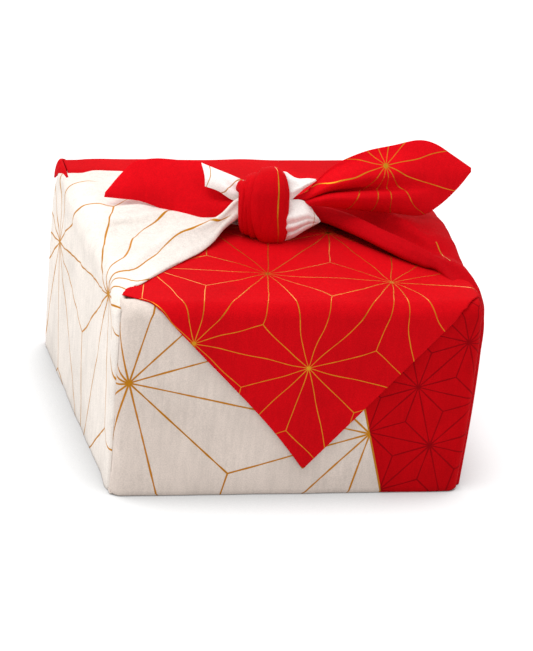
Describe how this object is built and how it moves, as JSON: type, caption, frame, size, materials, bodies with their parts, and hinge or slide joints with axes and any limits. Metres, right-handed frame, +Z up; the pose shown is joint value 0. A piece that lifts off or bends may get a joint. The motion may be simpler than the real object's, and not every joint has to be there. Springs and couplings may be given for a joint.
{
  "type": "furoshiki wrap",
  "caption": "Square printed cotton cloth folded round a box shape and tied on top in a reef knot with two free ends, its far corner hanging as a point down the front.",
  "frame": {"origin": "middle of the flat base that rests on a surface", "axes": "+Z up, -Y towards the front where the point of the cloth hangs, +X along the front towards the longer free end"},
  "size_m": [0.2153, 0.1989, 0.1669],
  "materials": {
    "red_cotton": "matt plain-weave cotton, red with thin gold and dark red lines",
    "white_cotton": "matt plain-weave cotton, white with thin gold lines"
  },
  "bodies": {
    "root": {"cloth": "red_cotton"}
  },
  "joints": []
}
